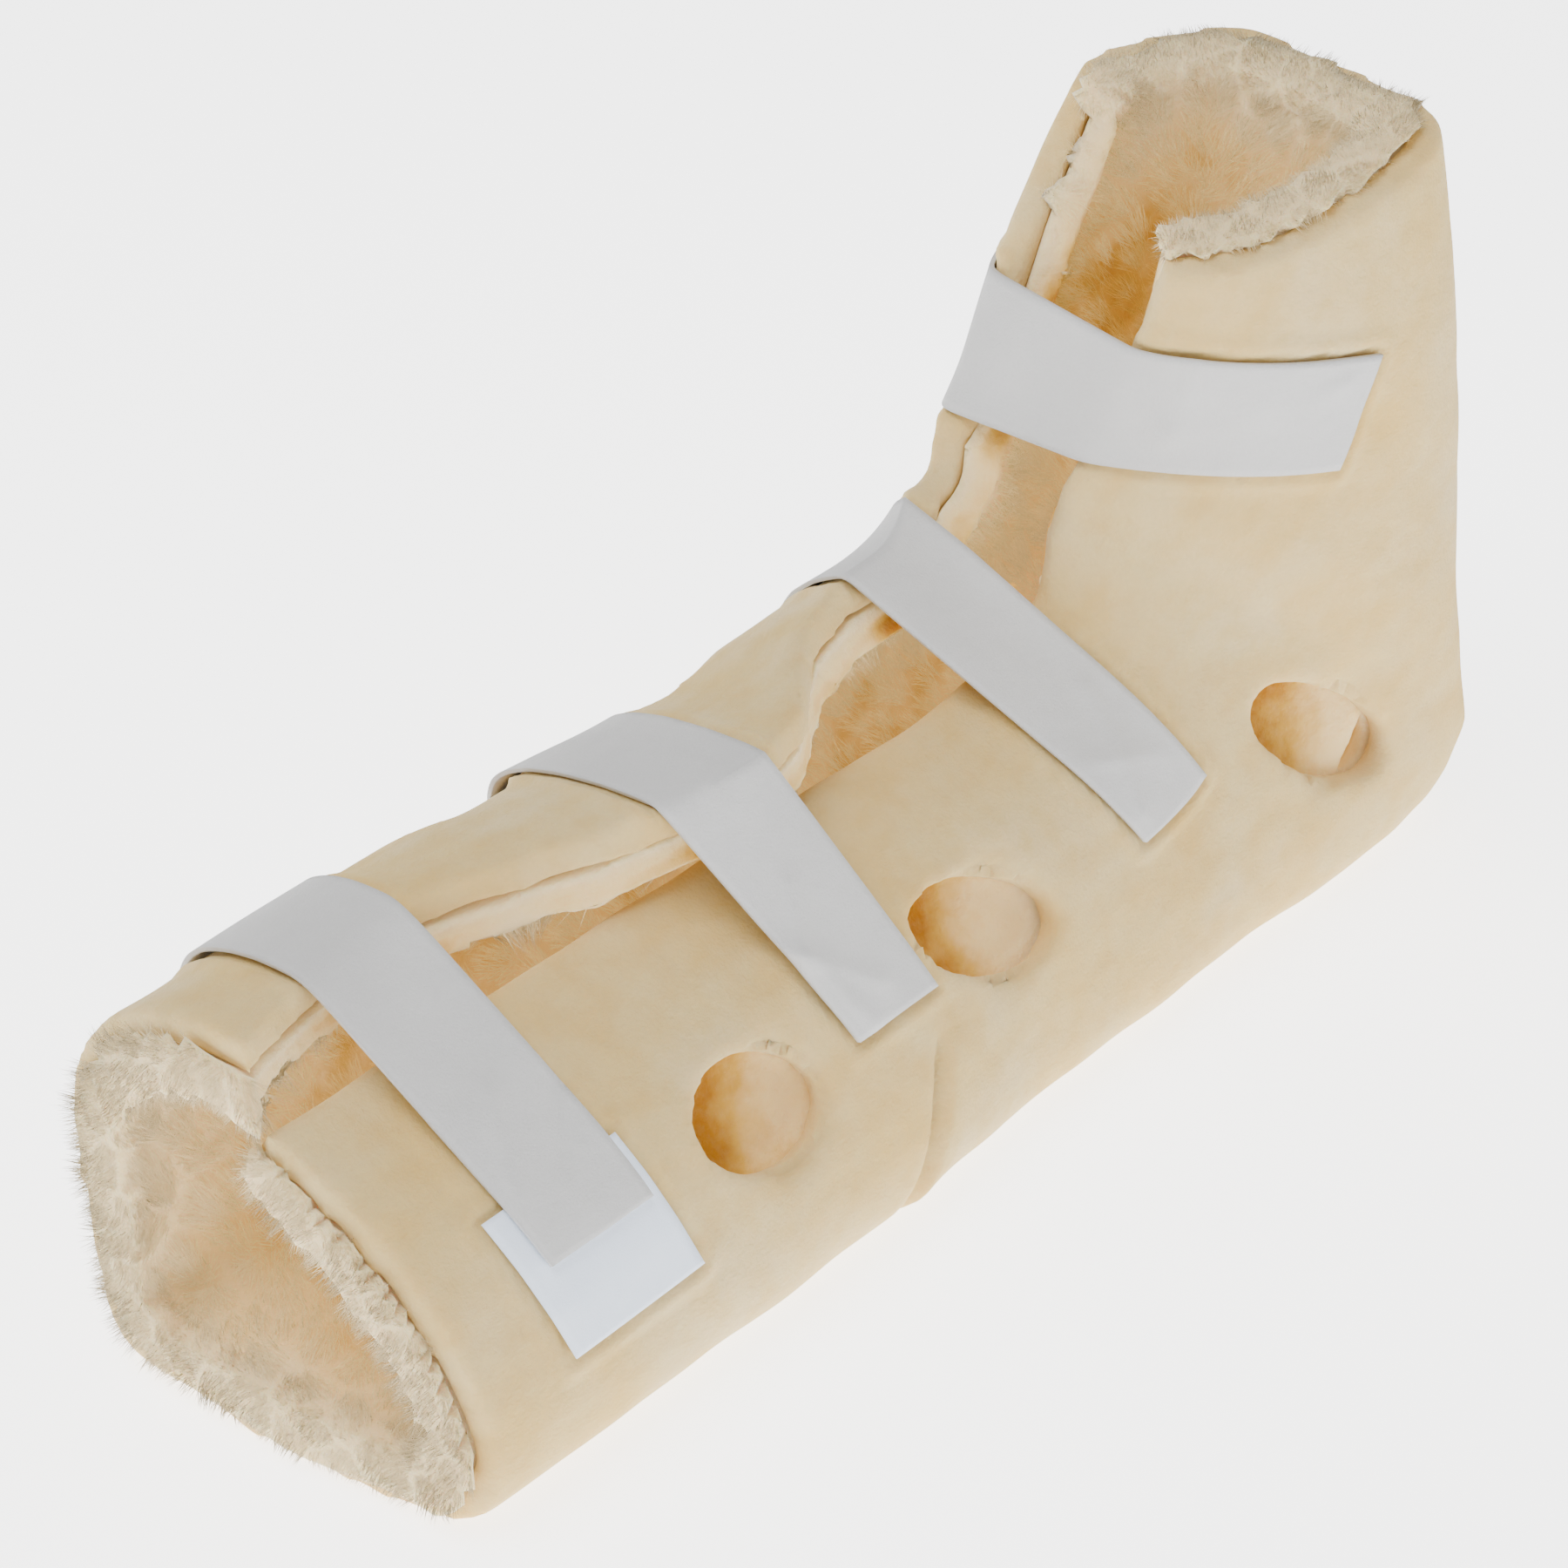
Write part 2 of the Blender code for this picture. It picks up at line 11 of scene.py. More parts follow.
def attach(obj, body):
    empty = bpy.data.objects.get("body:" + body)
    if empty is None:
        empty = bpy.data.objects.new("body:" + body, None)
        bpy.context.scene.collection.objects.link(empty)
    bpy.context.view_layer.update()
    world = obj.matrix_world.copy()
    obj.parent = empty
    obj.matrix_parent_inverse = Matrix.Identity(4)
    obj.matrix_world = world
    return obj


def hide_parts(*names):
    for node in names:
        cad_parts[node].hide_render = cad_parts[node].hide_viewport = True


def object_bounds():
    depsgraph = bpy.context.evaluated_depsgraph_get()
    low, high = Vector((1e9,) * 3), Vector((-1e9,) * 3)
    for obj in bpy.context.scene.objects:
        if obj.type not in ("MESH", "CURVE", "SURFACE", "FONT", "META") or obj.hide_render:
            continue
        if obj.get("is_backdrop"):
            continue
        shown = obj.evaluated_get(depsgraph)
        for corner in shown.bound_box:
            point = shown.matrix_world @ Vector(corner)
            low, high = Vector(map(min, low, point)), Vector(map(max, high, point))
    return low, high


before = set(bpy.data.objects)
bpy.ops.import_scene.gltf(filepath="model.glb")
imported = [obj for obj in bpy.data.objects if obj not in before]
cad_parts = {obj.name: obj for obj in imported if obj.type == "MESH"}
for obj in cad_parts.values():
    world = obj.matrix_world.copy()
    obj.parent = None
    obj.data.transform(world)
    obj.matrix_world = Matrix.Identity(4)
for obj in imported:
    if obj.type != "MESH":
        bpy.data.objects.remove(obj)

cad_low, cad_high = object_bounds()


# ---------------------------------------------------------------- the foam body
# The outer body is one sheet of cream upholstery foam, cut flat and bent up into a trough
# for the calf and the foot. It is soft, so its cut edges are rounded, and it swells a little
# on both sides of each strap that presses on it.
FOAM_VOXEL = 0.00240
FOAM_SMOOTHING = 7
SWELL_HEIGHT = 0.0013         # the ridge that a strap pushes up beside its edges
SWELL_NEAR, SWELL_FAR = 0.0016, 0.0085
DENT_SIZES = ((0.060, 0.0016), (0.022, 0.0006))    # size across and depth of soft dents
SLIT_TOP = (-0.0132, -0.0030, 0.1050)              # on the near flap's edge, in line with it
SLIT_LEAN = -24.0
SLIT_REACH = (0.052, 0.112)   # from the middle vent down to the floor
SLIT_FADE = 0.012             # it fades in and out over this length
SLIT_HALF_WIDTH, SLIT_DEEP = 0.0022, 0.0036
SLIT_STEP, SLIT_STEP_REACH = 0.0024, 0.030         # the foam behind it stands out this much
SLIT_STEP_RISE = 0.003
# From the heel to the calf end: the middle of each vent, the way that it faces, and how much
# nearer the pile behind it stands on the heel side
NEAR_VENTS = (((0.1376, -0.0616, 0.0694), (-0.166, -0.967, 0.192), 0.38),
              ((-0.0095, -0.0499, 0.0707), (0.009, -0.805, 0.593), 0.15),
              ((-0.1032, -0.0536, 0.0658), (-0.009, -0.838, 0.545), 0.05))
FAR_VENTS = (((0.1412, 0.0575, 0.0680), (0.070, 0.997, -0.032), 0.0),
             ((-0.0045, 0.0594, 0.1009), (-0.037, 0.903, 0.428), 0.0),
             ((-0.1009, 0.0557, 0.1084), (0.010, 0.731, 0.682), 0.0))
VENT_REACH = 0.034            # the foam sinks no further than this from a vent's middle
VENT_SINK, VENT_SINK_REACH = 0.0050, (0.011, 0.030)    # it sinks on a vent's heel side
VENT_SINK_WAY = (0.93, 0.0, -0.36)
WELD_DISTANCE = 2e-6


def copied(node, name):
    """A new piece with the shape of a solid of the frame, its vertices joined up."""
    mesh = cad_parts[node].data.copy()
    mesh.name = name
    mesh.materials.clear()
    welded = bmesh.new()
    welded.from_mesh(mesh)
    bmesh.ops.remove_doubles(welded, verts=welded.verts, dist=WELD_DISTANCE)
    welded.to_mesh(mesh)
    welded.free()
    piece = bpy.data.objects.new(name, mesh)
    bpy.context.scene.collection.objects.link(piece)
    return piece


def settled(piece):
    """Makes the modifiers of a piece part of its mesh."""
    ready = piece.evaluated_get(bpy.context.evaluated_depsgraph_get())
    mesh = bpy.data.meshes.new_from_object(ready)
    piece.modifiers.clear()
    piece.data = mesh
    mesh.shade_smooth()
    return piece


def remade(piece, voxel, smoothing):
    """Gives a piece an even net of small faces with soft edges."""
    net = piece.modifiers.new("even net", "REMESH")
    net.mode = "VOXEL"
    net.voxel_size = voxel
    soft = piece.modifiers.new("soft edges", "SMOOTH")
    soft.factor = 0.5
    soft.iterations = smoothing
    return settled(piece)


def points_of(piece):
    """Places and outward directions of a piece's vertices, as two arrays."""
    count = len(piece.data.vertices)
    places, outward = np.empty(count * 3), np.empty(count * 3)
    piece.data.vertices.foreach_get("co", places)
    piece.data.vertex_normals.foreach_get("vector", outward)
    return places.reshape(-1, 3), outward.reshape(-1, 3)


def set_points(piece, places):
    """Moves a piece's vertices."""
    piece.data.vertices.foreach_set("co", places.ravel())
    piece.data.update()


def tree_of(*nodes):
    """A search tree of one or more solids of the frame."""
    corners, faces = [], []
    for node in nodes:
        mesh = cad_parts[node].data
        first = len(corners)
        corners += [v.co.copy() for v in mesh.vertices]
        faces += [[first + k for k in polygon.vertices] for polygon in mesh.polygons]
    return BVHTree.FromPolygons(corners, faces)


def smooth_step(value, low, high):
    """0 below low, 1 above high, and a soft rise between them."""
    share = np.clip((value - low) / (high - low), 0.0, 1.0)
    return share * share * (3.0 - 2.0 * share)


def lumps(places, size, seed):
    """Soft random heights from -1 to 1 at each place, about one lump to each size."""
    shift = Vector((seed * 7.31, seed * 3.17, seed * 5.71))
    return np.array([noise.noise(Vector(p) / size + shift) for p in places])


foam = remade(copied("foam_shell", "foam_body"), FOAM_VOXEL, FOAM_SMOOTHING)
places, outward = points_of(foam)
height = np.zeros(len(places))
for seed, (across, deep) in enumerate(DENT_SIZES):
    height += deep * lumps(places, across, seed)
straps_tree = tree_of("strap_calf_end", "strap_calf_middle", "strap_instep", "strap_foot",
                      "blank_label")
to_strap = np.full(len(places), 1.0)
for k, place in enumerate(places):
    found = straps_tree.find_nearest(Vector(place), SWELL_FAR)
    if found[0] is not None and (found[0] - Vector(place)).dot(Vector(outward[k])) > -0.002:
        to_strap[k] = found[3]
beside = np.clip((to_strap - SWELL_NEAR) / (SWELL_FAR - SWELL_NEAR), 0.0, 1.0)
height += SWELL_HEIGHT * np.sin(math.pi * beside ** 0.6) ** 2
height = np.where(to_strap < SWELL_NEAR, np.minimum(height, 0.0), height)
lean = math.radians(SLIT_LEAN)
from_slit = (places - SLIT_TOP) @ np.array((math.cos(lean), 0.0, math.sin(lean)))
down_slit = -(places - SLIT_TOP) @ np.array((-math.sin(lean), 0.0, math.cos(lean)))
on_slit = (smooth_step(down_slit, SLIT_REACH[0], SLIT_REACH[0] + SLIT_FADE)
           * (1.0 - smooth_step(down_slit, SLIT_REACH[1] - SLIT_FADE, SLIT_REACH[1]))
           * (places[:, 1] < -0.02) * (outward[:, 1] < -0.05))
height -= SLIT_DEEP * on_slit * np.exp(-(from_slit / SLIT_HALF_WIDTH) ** 2)
behind = np.clip(from_slit / SLIT_STEP_REACH, 0.0, 1.0)
height += SLIT_STEP * on_slit * (from_slit > 0) * (1.0 - behind) ** 2 * smooth_step(
    from_slit, 0.0, SLIT_STEP_RISE)
for centre, facing, _ in NEAR_VENTS:
    from_vent = places - centre
    flat = from_vent - np.outer(from_vent @ np.array(facing), facing)
    off = np.linalg.norm(flat, axis=1)
    side = flat @ np.array(VENT_SINK_WAY) / np.maximum(off, 1e-6)
    near = (np.linalg.norm(from_vent, axis=1) < VENT_REACH) * (outward @ np.array(facing) > 0.3)
    height -= VENT_SINK * near * (1.0 - smooth_step(off, *VENT_SINK_REACH)) * smooth_step(
        side, -0.3, 0.8)
places = places + outward * height[:, None]
places[:, 2] = np.maximum(places[:, 2], 0.0)       # nothing sinks into the floor
set_points(foam, places)

foam_finish = bpy.data.materials.new("cream_foam")
foam_finish.use_nodes = True
nodes, links = foam_finish.node_tree.nodes, foam_finish.node_tree.links
surface = nodes["Principled BSDF"]
surface.inputs["Roughness"].default_value = 0.92
surface.inputs["Specular IOR Level"].default_value = 0.15
surface.inputs["Sheen Weight"].default_value = 0.06
surface.inputs["Sheen Roughness"].default_value = 0.6
surface.inputs["Subsurface Weight"].default_value = 0.35
surface.inputs["Subsurface Radius"].default_value = (0.006, 0.0035, 0.0018)
surface.inputs["Subsurface Scale"].default_value = 1.0


def patches(nodes, links, size, detail, low, high, roughness=0.55):
    """A noise in object space, stretched so that it runs from 0 to 1 between two levels."""
    where = nodes.new("ShaderNodeTexCoord")
    cloud = nodes.new("ShaderNodeTexNoise")
    cloud.inputs["Scale"].default_value = 1.0 / size
    cloud.inputs["Detail"].default_value = detail
    cloud.inputs["Roughness"].default_value = roughness
    spread = nodes.new("ShaderNodeMapRange")
    spread.inputs["From Min"].default_value = low
    spread.inputs["From Max"].default_value = high
    links.new(where.outputs["Object"], cloud.inputs["Vector"])
    links.new(cloud.outputs["Fac"], spread.inputs["Value"])
    return spread.outputs["Result"]


def mixed(nodes, links, share, first, second, strength=1.0):
    """A colour between two, each a socket or three numbers."""
    mix = nodes.new("ShaderNodeMix")
    mix.data_type = "RGBA"
    if strength != 1.0:
        weaker = nodes.new("ShaderNodeMath")
        weaker.operation = "MULTIPLY"
        weaker.inputs[1].default_value = strength
        links.new(share, weaker.inputs[0])
        share = weaker.outputs[0]
    links.new(share, mix.inputs["Factor"])
    for colour, socket in ((first, mix.inputs["A"]), (second, mix.inputs["B"])):
        if isinstance(colour, tuple):
            socket.default_value = (*colour, 1.0)
        else:
            links.new(colour, socket)
    return mix.outputs["Result"]


def relief(nodes, links, surface, heights):
    """Adds small heights to a finish: (socket, depth in metres) from coarse to fine."""
    last = None
    for socket, deep in heights:
        bump = nodes.new("ShaderNodeBump")
        bump.inputs["Strength"].default_value = 1.0
        bump.inputs["Distance"].default_value = deep
        links.new(socket, bump.inputs["Height"])
        if last is not None:
            links.new(last, bump.inputs["Normal"])
        last = bump.outputs["Normal"]
    links.new(last, surface.inputs["Normal"])


cream = mixed(nodes, links, patches(nodes, links, 0.045, 3.0, 0.35, 0.70),
              (0.640, 0.495, 0.250), (0.640, 0.435, 0.145))
cream = mixed(nodes, links, patches(nodes, links, 0.011, 4.0, 0.45, 0.75), cream,
              (0.560, 0.360, 0.105), 0.50)
cream = mixed(nodes, links, patches(nodes, links, 0.0016, 2.0, 0.35, 0.75), cream,
              (0.500, 0.370, 0.180), 0.22)
links.new(cream, surface.inputs["Base Color"])
relief(nodes, links, surface, [
    (patches(nodes, links, 0.009, 3.0, 0.2, 0.8), 0.0006),
    (patches(nodes, links, 0.0011, 2.0, 0.2, 0.8), 0.00018)])
foam.data.materials.append(foam_finish)
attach(foam, "root")
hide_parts("foam_shell")


# ---------------------------------------------------------------- the fleece lining
# The lining is a knitted backing with a deep synthetic sheepskin pile, glued inside the
# foam. The backing follows the foam. The pile stands up from it, spills over the cut edge at
# both open ends, and closes loosely behind all six vents.
PILE_VOXEL = 0.0027
PILE_SMOOTHING = 9
PILE_SINK = 0.0036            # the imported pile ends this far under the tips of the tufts
BACKING = (0.0016, 0.0050)    # nearer the foam than this the lining is backing and keeps still
TUFT_SIZES = ((0.034, 0.0030), (0.013, 0.0016), (0.0050, 0.0004))
SPILL_OUT, SPILL_OVER = 0.0036, 0.0098    # past the ends, and sideways over the foam's edge
PILE_DEEP = 0.014
FLAP_EDGE_SINK = 0.0022       # along the flaps' long edges the pile keeps back from the edge
FLAP_EDGE_SHADE = 0.72
# how far the lining's face has turned, from the inside to a cut edge and on to the backing
EDGE_FROM_INSIDE, EDGE_TO_BACKING = (0.35, 0.80), (0.45, 0.75)
# how far in the two open ends reach, and how straight out their cut edges face
MOUTH_DEPTH, MOUTH_TURN = 0.055, (0.50, 0.80)
TOE_DEPTH, TOE_TURN = 0.060, (0.45, 0.75)
VENT_PAD = (0.032, 0.0045)    # the pile behind a vent, its half width and half thickness
VENT_PAD_DEEP, VENT_PAD_BACK = 0.0185, 0.002       # how deep its middle and its back lie
VENT_AIR = (0.05, 0.36)       # the light in a vent, on its calf side and on its heel side
VENT_AIR_RUN = (-0.004, 0.020)
SKY_RAYS = 26
SKY_REACH = 0.085             # how far off a wall still shades the pile
SKY_START = 0.004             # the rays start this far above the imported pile
AIR_SMOOTHING = 6

lining = copied("fleece_lining", "fleece_lining_pile")
work = bmesh.new()
work.from_mesh(lining.data)
for centre, facing, tilt in NEAR_VENTS + FAR_VENTS:
    pad = bmesh.ops.create_uvsphere(work, u_segments=24, v_segments=12, radius=1.0)["verts"]
    turned = (Vector(facing) - tilt * Vector(VENT_SINK_WAY)).to_track_quat("Z", "Y")
    for vert in pad:
        flattened = Vector((vert.co.x * VENT_PAD[0], vert.co.y * VENT_PAD[0],
                            vert.co.z * VENT_PAD[1]))
        vert.co = Vector(centre) - Vector(facing) * VENT_PAD_DEEP + turned @ flattened
work.to_mesh(lining.data)
work.free()
lining = remade(lining, PILE_VOXEL, PILE_SMOOTHING)
places, outward = points_of(lining)
shell_tree = tree_of("foam_shell")
to_foam = np.array([shell_tree.find_nearest(Vector(p))[0] for p in places]) - places
from_foam = np.linalg.norm(to_foam, axis=1)
to_foam /= np.maximum(from_foam, 1e-6)[:, None]
faces_foam = np.sum(to_foam * outward, axis=1)
loose = smooth_step(from_foam, *BACKING)
edge = 1.0 - smooth_step(-faces_foam, *EDGE_FROM_INSIDE)    # 1 on the lining's cut edges
edge *= 1.0 - smooth_step(faces_foam, *EDGE_TO_BACKING)
at_mouth = (places[:, 0] < cad_low[0] + MOUTH_DEPTH) * smooth_step(
    -outward[:, 0], *MOUTH_TURN)
at_toe = (places[:, 2] > cad_high[2] - TOE_DEPTH) * smooth_step(outward[:, 2], *TOE_TURN)
end_edge = edge * np.maximum(at_mouth, at_toe)
flap_edge = edge - end_edge
in_vent, vent_side = np.zeros(len(places)), np.zeros(len(places))
for centre, facing, _ in NEAR_VENTS + FAR_VENTS:
    deep = (centre - places) @ np.array(facing)
    aside = np.linalg.norm(places - centre + np.outer(deep, facing), axis=1)
    inside = (deep < VENT_PAD_DEEP + VENT_PAD_BACK) & (deep > 0.0) & (aside < VENT_PAD[0])
    in_vent[inside] = 1.0
    vent_side[inside] = ((places - centre) @ np.array(VENT_SINK_WAY))[inside]
flap_edge *= 1.0 - in_vent
loose = np.maximum(loose * (1.0 - flap_edge), end_edge)
height = -PILE_SINK * loose * (1.0 - end_edge) * (1.0 - in_vent)
height += SPILL_OUT * end_edge - FLAP_EDGE_SINK * flap_edge
for seed, (across, deep) in enumerate(TUFT_SIZES):
    height += deep * loose * (1.0 - 0.6 * in_vent) * (1.0 - 0.5 * end_edge) * lumps(
        places, across, seed + 11)
over = SPILL_OVER * end_edge * (1.0 - np.clip(from_foam / PILE_DEEP, 0.0, 1.0)) ** 1.3
set_points(lining, places + outward * height[:, None] + to_foam * over[:, None])
places, outward = points_of(lining)

# How much open air each point of the pile sees, from 0 deep inside to 1 at the rims; the pile's
# finish paints shade and glow from it
walls_tree = tree_of("foam_shell", "fleece_lining", "strap_calf_end", "strap_calf_middle",
                     "strap_instep", "strap_foot")
turns = np.arange(SKY_RAYS) * math.pi * (3.0 - math.sqrt(5.0))
rises = np.sqrt(1.0 - (np.arange(SKY_RAYS) + 0.5) / SKY_RAYS)
spread = np.sqrt(1.0 - rises ** 2)
open_air = np.ones(len(places))
for k in np.nonzero(faces_foam < 0.6)[0]:
    up = Vector(outward[k])
    side = up.orthogonal().normalized()
    other = up.cross(side)
    start = Vector(places[k]) + up * (PILE_SINK + SKY_START)
    seen = 0
    for turn, rise, wide in zip(turns, rises, spread):
        ray = up * rise + (side * math.cos(turn) + other * math.sin(turn)) * wide
        if walls_tree.ray_cast(start, ray, SKY_REACH)[0] is None:
            seen += 1
    open_air[k] = seen / SKY_RAYS
# painted shade along the flaps' long edges
open_air *= 1.0 - FLAP_EDGE_SHADE * flap_edge
# painted light and shade in the vents: dark on the calf side, lighter on the heel side
vent_air = VENT_AIR[0] + (VENT_AIR[1] - VENT_AIR[0]) * smooth_step(
    vent_side, *VENT_AIR_RUN)
open_air = np.where(in_vent > 0.5, vent_air, open_air)
ends = np.empty(len(lining.data.edges) * 2, np.int64)
lining.data.edges.foreach_get("vertices", ends)
ends = ends.reshape(-1, 2)
for _ in range(AIR_SMOOTHING):
    total, count = open_air.copy(), np.ones(len(places))
    for a, b in ((0, 1), (1, 0)):
        np.add.at(total, ends[:, a], open_air[ends[:, b]])
        np.add.at(count, ends[:, a], 1.0)
    open_air = total / count


def give_air(piece, values):
    """Keeps the open air of each vertex with a piece, for its finish."""
    kept = piece.data.attributes.new("open_air", "FLOAT", "POINT")
    kept.data.foreach_set("value", np.asarray(values, np.float32))


def shaded(nodes, links, level, stops):
    """A colour that follows a level through a short table of (level, colour)."""
    ramp = nodes.new("ShaderNodeValToRGB")
    while len(ramp.color_ramp.elements) < len(stops):
        ramp.color_ramp.elements.new(0.5)
    for element, (place, colour) in zip(ramp.color_ramp.elements, stops):
        element.position = place
        element.color = (*colour, 1.0)
    links.new(level, ramp.inputs["Fac"])
    return ramp.outputs["Color"]


give_air(lining, open_air)

# Painted shade and glow: the pile is coloured cream where it is open to the air and amber
# deeper in, and it glows amber where light would come through the foam
fleece_finish = bpy.data.materials.new("sheepskin_pile")
fleece_finish.use_nodes = True
nodes, links = fleece_finish.node_tree.nodes, fleece_finish.node_tree.links
surface = nodes["Principled BSDF"]
surface.inputs["Roughness"].default_value = 0.95
surface.inputs["Specular IOR Level"].default_value = 0.05
surface.inputs["Sheen Weight"].default_value = 0.15
surface.inputs["Sheen Roughness"].default_value = 0.5
surface.inputs["Subsurface Weight"].default_value = 0.50
surface.inputs["Subsurface Radius"].default_value = (0.009, 0.0050, 0.0024)
surface.inputs["Subsurface Scale"].default_value = 1.0
surface.inputs["Emission Strength"].default_value = 0.85
air = nodes.new("ShaderNodeAttribute")
air.attribute_name = "open_air"
sum_air = nodes.new("ShaderNodeMath")
sum_air.operation = "MULTIPLY_ADD"
sum_air.inputs[1].default_value = 0.16
links.new(patches(nodes, links, 0.016, 3.0, 0.30, 0.70), sum_air.inputs[0])
links.new(air.outputs["Fac"], sum_air.inputs[2])
# painted shade: the base colour goes from cream to dark amber as the pile sees less open air
pile_colour_and_painted_shade = shaded(nodes, links, sum_air.outputs[0], (
    (0.14, (0.42, 0.18, 0.010)), (0.26, (0.58, 0.34, 0.070)), (0.42, (0.72, 0.52, 0.250)),
    (0.66, (0.76, 0.59, 0.340)), (0.95, (0.72, 0.57, 0.320))))
pile_colour_and_painted_shade = mixed(nodes, links, patches(nodes, links, 0.003, 3.0, 0.40, 0.80),
                    pile_colour_and_painted_shade, (0.60, 0.45, 0.28), 0.15)
links.new(pile_colour_and_painted_shade, surface.inputs["Base Color"])
# painted glow: an amber emission, keyed to the open air, stands in for light that comes through
# the foam
painted_through_glow = shaded(nodes, links, sum_air.outputs[0], (
    (0.13, (0.10, 0.036, 0.001)), (0.26, (0.24, 0.130, 0.015)), (0.42, (0.40, 0.270, 0.090)),
    (0.68, (0.28, 0.200, 0.085)), (0.95, (0.14, 0.105, 0.050))))
links.new(painted_through_glow, surface.inputs["Emission Color"])
relief(nodes, links, surface, [(patches(nodes, links, 0.0035, 4.0, 0.2, 0.8), 0.0008)])
lining.data.materials.append(fleece_finish)
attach(lining, "root")
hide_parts("fleece_lining")

# The loose tips have the same colours and painted shade; with no subsurface, a stronger painted
# glow stands in for the light that goes right through them
TIPS_GLOW = 1.5
tips_finish = fleece_finish.copy()
tips_finish.name = "sheepskin_tips"
tips_surface = tips_finish.node_tree.nodes["Principled BSDF"]
tips_surface.inputs["Subsurface Weight"].default_value = 0.0
tips_surface.inputs["Emission Strength"].default_value = TIPS_GLOW


# ---------------------------------------------------------------- the tufts of the pile
# The tips of the pile are fine curled fibres that lean together in tufts. Each is a thin
# tapered lock that grows from the lining, longest on the near flap at the open end.
LOCKS = 156000
LOCK_PIECES = 4
LOCK_LENGTH = (0.0040, 0.0075)
MOUTH_LENGTH, MOUTH_REACH = 0.8, 0.035     # how much longer, and how far in from the end
RIM_LENGTH = 0.45             # on the cut edges the pile is short
LOCK_THICKNESS, THICKNESS_SPREAD = 0.00012, (0.7, 1.5)
LOCK_ROOT = 0.0010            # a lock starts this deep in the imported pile
LOOSE_ENOUGH = 0.30           # locks grow where the lining is at least this loose
LEAST_SHARE = 0.15            # and this thickly where no open air reaches
TIP_AIR = 0.08                # a tip is this much more in the open than its root, so it is painted lighter
TUFT_SPACING = 0.0090
TUFT_HEIGHT, TUFT_SPREAD = 0.006, 0.0016           # of the points that tips lean to
TUFT_PULL = 0.60              # how far tips lean to the middle of their tuft
COMB = (0.0, 0.0, -0.25)      # the pile hangs a little
STRAY = 0.22
SOFTNESS = 0.85               # how much of a lock's shading follows the pile that it stands in

chance = np.random.default_rng(20)
lining.data.calc_loop_triangles()
corners = np.empty(len(lining.data.loop_triangles) * 3, np.int64)
lining.data.loop_triangles.foreach_get("vertices", corners)
corners = corners.reshape(-1, 3)
corners = corners[(loose[corners].min(axis=1) > LOOSE_ENOUGH)
                  & (in_vent[corners].max(axis=1) < 0.5)]
a, b, c = (places[corners[:, k]] for k in range(3))
areas = np.linalg.norm(np.cross(b - a, c - a), axis=1) / 2.0
wanted = areas * (LEAST_SHARE + open_air[corners].mean(axis=1))


def scattered(count, weights):
    """Random points on the loose pile: places, directions, air, looseness and cut edge."""
    chosen = chance.choice(len(corners), count, p=weights / weights.sum())
    u, v = chance.random(count), chance.random(count)
    u, v = np.where(u + v > 1, 1 - u, u), np.where(u + v > 1, 1 - v, v)
    shares = np.column_stack([1 - u - v, u, v])
    picked = corners[chosen]
    return [np.einsum("nk,nk...->n...", shares, values[picked])
            for values in (places, outward, open_air, loose, end_edge)]


def unit(ways):
    """The same directions, each of length 1."""
    return ways / np.maximum(np.linalg.norm(ways, axis=1), 1e-9)[:, None]


tuft_count = int(areas.sum() / TUFT_SPACING ** 2)
tuft_roots, tuft_out = scattered(tuft_count, areas)[:2]
tuft_tips = (tuft_roots + tuft_out * TUFT_HEIGHT
             + chance.normal(0.0, TUFT_SPREAD, tuft_roots.shape))
tufts = KDTree(tuft_count)
for k, root in enumerate(tuft_roots):
    tufts.insert(root, k)
tufts.balance()

roots, grow, lock_air, lock_loose, lock_rim = scattered(LOCKS, wanted)
grow = unit(grow)
to_mouth = 1.0 - smooth_step(roots[:, 0], cad_low[0], cad_low[0] + MOUTH_REACH)
length = chance.uniform(*LOCK_LENGTH, LOCKS) * (0.45 + 0.55 * lock_loose)
length *= 1.0 + MOUTH_LENGTH * to_mouth * (grow[:, 1] > 0.2)
length *= 1.0 - (1.0 - RIM_LENGTH) * lock_rim
nearest = np.array([tufts.find(root)[1] for root in roots])
lean_to = tuft_tips[nearest] - roots
lean_to -= grow * np.sum(lean_to * grow, axis=1)[:, None]
heading = unit(grow + np.array(COMB) + chance.normal(0.0, STRAY, grow.shape))
tips = (roots + heading * length[:, None]
        + lean_to * (TUFT_PULL * (1.0 - 0.6 * lock_rim))[:, None])
first_side = unit(np.cross(grow, chance.normal(0.0, 1.0, grow.shape)))
second_side = np.cross(grow, first_side)
thick = (LOCK_THICKNESS * chance.uniform(*THICKNESS_SPREAD, LOCKS))[:, None]
lock_points = np.stack([roots - grow * LOCK_ROOT + thick * (
    first_side * math.cos(turn) + second_side * math.sin(turn))
    for turn in (0.0, 2.0 * math.pi / 3.0, 4.0 * math.pi / 3.0)] + [tips], axis=1)
lock_normals = np.repeat(unit(grow * SOFTNESS + (1.0 - SOFTNESS) * unit(
    np.cross(tips - roots, first_side)))[:, None], 4, axis=1)
lock_faces = np.array([(2, 1, 0), (0, 1, 3), (1, 2, 3), (2, 0, 3)])
